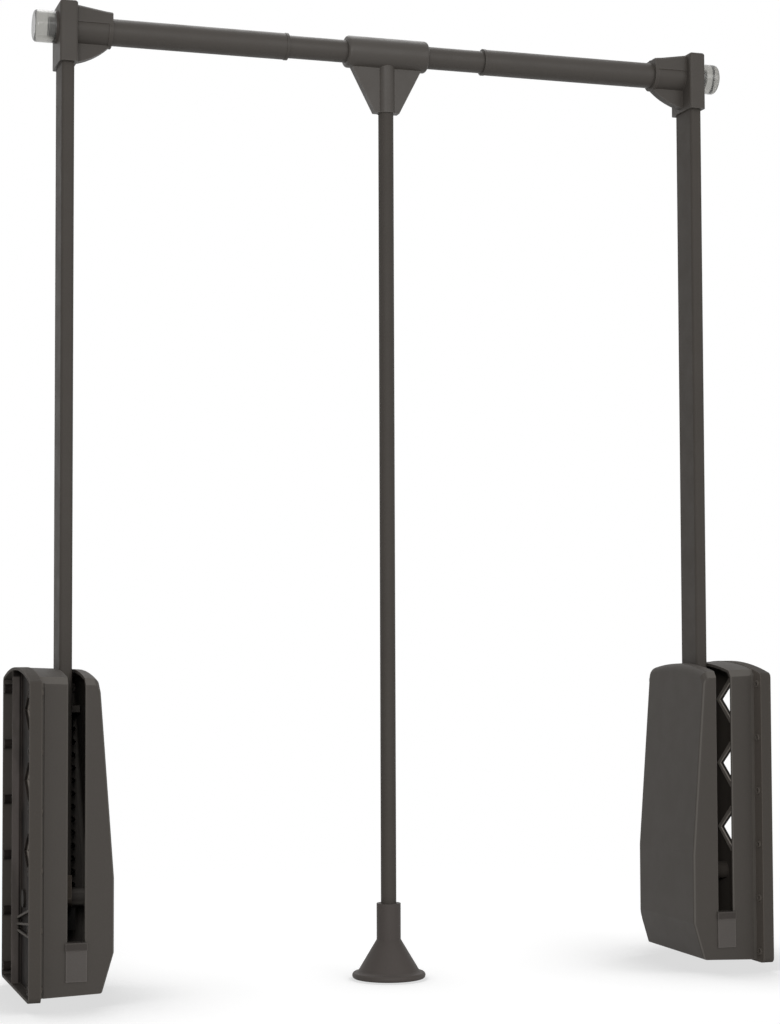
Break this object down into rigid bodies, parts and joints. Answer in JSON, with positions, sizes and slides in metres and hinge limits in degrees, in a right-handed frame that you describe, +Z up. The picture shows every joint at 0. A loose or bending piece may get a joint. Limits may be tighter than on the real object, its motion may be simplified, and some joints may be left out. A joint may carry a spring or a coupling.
{
  "type": "pull down closet rod",
  "caption": "Wardrobe lift: two wall-mounted spring housings with arms that swing a telescopic hanging rail down by a pull rod with a conical handle.",
  "frame": {"origin": "middle of the object's footprint, level with the lowest rim of the pull handle", "axes": "+X across the cabinet to the right housing, +Y to the cabinet's back, +Z up along the raised arms"},
  "size_m": [0.685, 0.158, 0.8661],
  "materials": {
    "housing_plastic": "fine grain, satin",
    "pad_rubber": "matt",
    "bright_steel": "ground",
    "spring_steel": "oiled",
    "zinc_steel": "zinc plated",
    "screw_steel": "blackened",
    "slide_nylon": "smooth",
    "coated_steel": "satin powder coat",
    "bracket_plastic": "satin",
    "bumper_clear": "cloudy, see-through",
    "handle_plastic": "satin"
  },
  "bodies": {
    "left_housing": {"left_wall_base": "housing_plastic", "left_cover": "housing_plastic", "left_arm_rest_pad": "pad_rubber", "left_pivot_pin": "bright_steel", "left_spring_abutment": "zinc_steel", "left_wall_side_spring": "spring_steel", "left_cover_side_spring": "spring_steel", "left_damper_cylinder": "zinc_steel", "left_arm_stop": "pad_rubber", "left_housing_screws": "screw_steel"},
    "right_housing": {"right_wall_base": "housing_plastic", "right_cover": "housing_plastic", "right_arm_rest_pad": "pad_rubber", "right_pivot_pin": "bright_steel", "right_spring_abutment": "zinc_steel", "right_wall_side_spring": "spring_steel", "right_cover_side_spring": "spring_steel", "right_damper_cylinder": "zinc_steel", "right_arm_stop": "pad_rubber", "right_housing_screws": "screw_steel"},
    "lift_frame": {"left_arm_hub": "zinc_steel", "left_pivot_bush": "slide_nylon", "left_crank_pin": "bright_steel", "left_arm_tube": "coated_steel", "left_arm_rivets": "bright_steel", "left_corner_bracket": "bracket_plastic", "left_bracket_screws": "screw_steel", "left_bumper": "bumper_clear", "left_outer_tube": "coated_steel", "left_tube_bush": "slide_nylon"},
    "right_frame": {"right_arm_hub": "zinc_steel", "right_pivot_bush": "slide_nylon", "right_crank_pin": "bright_steel", "right_arm_tube": "coated_steel", "right_arm_rivets": "bright_steel", "right_corner_bracket": "bracket_plastic", "right_bracket_screws": "screw_steel", "right_bumper": "bumper_clear", "right_outer_tube": "coated_steel", "right_tube_bush": "slide_nylon"},
    "left_spring_slider": {"left_yoke_slider": "slide_nylon", "left_damper_rod": "bright_steel"},
    "right_spring_slider": {"right_yoke_slider": "slide_nylon", "right_damper_rod": "bright_steel"},
    "rail_centre": {"left_tube_plug": "slide_nylon", "right_tube_plug": "slide_nylon"},
    "pull_rod_group": {"inner_tube": "coated_steel", "rod_connector": "bracket_plastic", "connector_screw": "screw_steel", "pull_rod": "coated_steel", "rod_pins": "screw_steel", "pull_handle": "handle_plastic", "handle_cap": "handle_plastic"}
  },
  "joints": [
    {"name": "width_adjust", "type": "slide", "parent": "left_housing", "child": "right_housing", "axis": [1, 0, 0], "range_m": [-0.085, 0.145]},
    {"name": "lift_swing", "type": "hinge", "parent": "left_housing", "child": "lift_frame", "pos_m": [-0.3023, -0.0015, 0.0845], "axis": [1, 0, 0], "range_deg": [0, 100], "stiffness_Nm_per_rad": 15, "springref_deg": -20.05},
    {"name": "left_yoke_travel", "type": "slide", "parent": "left_housing", "child": "left_spring_slider", "axis": [0, 0, 1], "range_m": [0, 0.0399], "deforming": ["left_wall_side_spring", "left_cover_side_spring"]},
    {"name": "right_yoke_travel", "type": "slide", "parent": "right_housing", "child": "right_spring_slider", "axis": [0, 0, 1], "range_m": [0, 0.0399], "deforming": ["right_wall_side_spring", "right_cover_side_spring"]},
    {"name": "rail_centre_slide", "type": "slide", "parent": "lift_frame", "child": "rail_centre", "axis": [1, 0, 0], "range_m": [-0.0425, 0.0725]},
    {"name": "right_frame_slide", "type": "slide", "parent": "rail_centre", "child": "right_frame", "axis": [1, 0, 0], "range_m": [-0.0425, 0.0725]},
    {"name": "pull_rod_swing", "type": "hinge", "parent": "rail_centre", "child": "pull_rod_group", "pos_m": [-0.0051, -0.0015, 0.8454], "axis": [1, 0, 0], "range_deg": [-110, 110]}
  ],
  "couplings": [
    {"joint": "left_yoke_travel", "follows": "lift_swing", "m_per_rad": 0.022822},
    {"joint": "right_yoke_travel", "follows": "lift_swing", "m_per_rad": 0.022822},
    {"joint": "rail_centre_slide", "follows": "width_adjust", "ratio": 0.5},
    {"joint": "right_frame_slide", "follows": "width_adjust", "ratio": 0.5}
  ]
}
